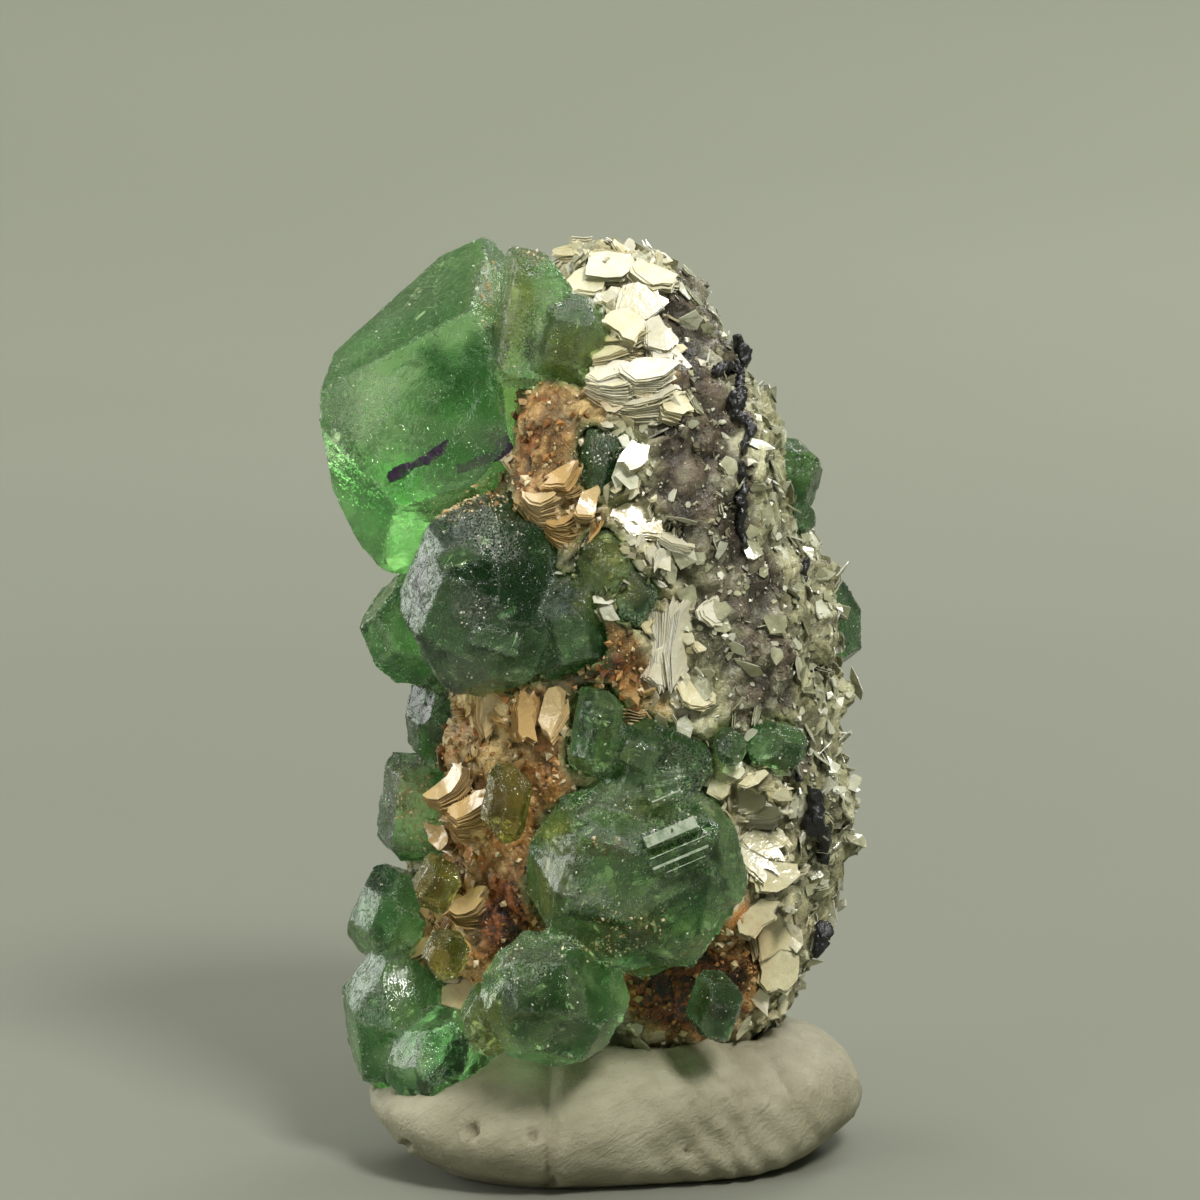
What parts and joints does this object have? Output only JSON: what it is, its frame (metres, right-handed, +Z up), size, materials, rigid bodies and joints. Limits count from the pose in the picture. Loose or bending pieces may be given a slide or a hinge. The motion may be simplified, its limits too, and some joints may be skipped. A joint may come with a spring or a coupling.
{
  "type": "mineral specimen",
  "caption": "Mineral specimen: green phantom fluorite crystals with black schorl and mica books on a lumpy matrix, held upright by a lump of mounting putty.",
  "frame": {"origin": "on the putty's flat underside, below the middle of the pictured front", "axes": "+Z up, along the specimen's height; -Y towards the side that the picture shows; +X to that side's right"},
  "size_m": [0.021, 0.0223, 0.0359],
  "materials": {
    "fluorite_green": "clear green crystal with purple phantom zones, faintly etched faces",
    "fluorite_frosted": "grey-green crystal with frosted faces",
    "fluorite_olive": "olive to brown-green clear crystal",
    "matrix": "granular, iron-stained feldspar and mica",
    "mica": "pearly cream and silver sheets",
    "schorl": "black, glassy, striated along its length",
    "putty": "matt grey-white putty"
  },
  "bodies": {
    "root": {"fluorite_large": "fluorite_green", "fluorite_middle": "fluorite_frosted", "fluorite_left_column": "fluorite_green", "fluorite_lower_left": "fluorite_green", "fluorite_olive_upper": "fluorite_olive", "fluorite_olive_left": "fluorite_olive", "fluorite_olive_lower": "fluorite_olive", "fluorite_front": "fluorite_green", "fluorite_small_green": "fluorite_green", "fluorite_right_upper": "fluorite_green", "fluorite_right_edge": "fluorite_green", "fluorite_right_foot": "fluorite_green", "fluorite_among_mica_left": "fluorite_olive", "fluorite_among_mica_right": "fluorite_olive", "fluorite_back_left_upper": "fluorite_green", "fluorite_back_left_middle": "fluorite_green", "fluorite_back_lower": "fluorite_green", "fluorite_back_upper": "fluorite_green", "fluorite_back_middle": "fluorite_green", "mica_silver": "mica", "mica_crown_left": "mica", "mica_crown_right": "mica", "mica_upper_fold": "mica", "mica_centre_fold": "mica", "mica_upright": "mica", "mica_fan_upper": "mica", "mica_fan_lower": "mica", "mica_left_foot": "mica", "mica_right_foot": "mica", "schorl_spray": "schorl", "schorl_fork": "schorl", "schorl_needle": "schorl", "schorl_upper_chunk": "schorl", "schorl_middle_chunk": "schorl", "schorl_lower_chunk": "schorl", "matrix": "matrix", "putty_base": "putty"}
  },
  "joints": []
}
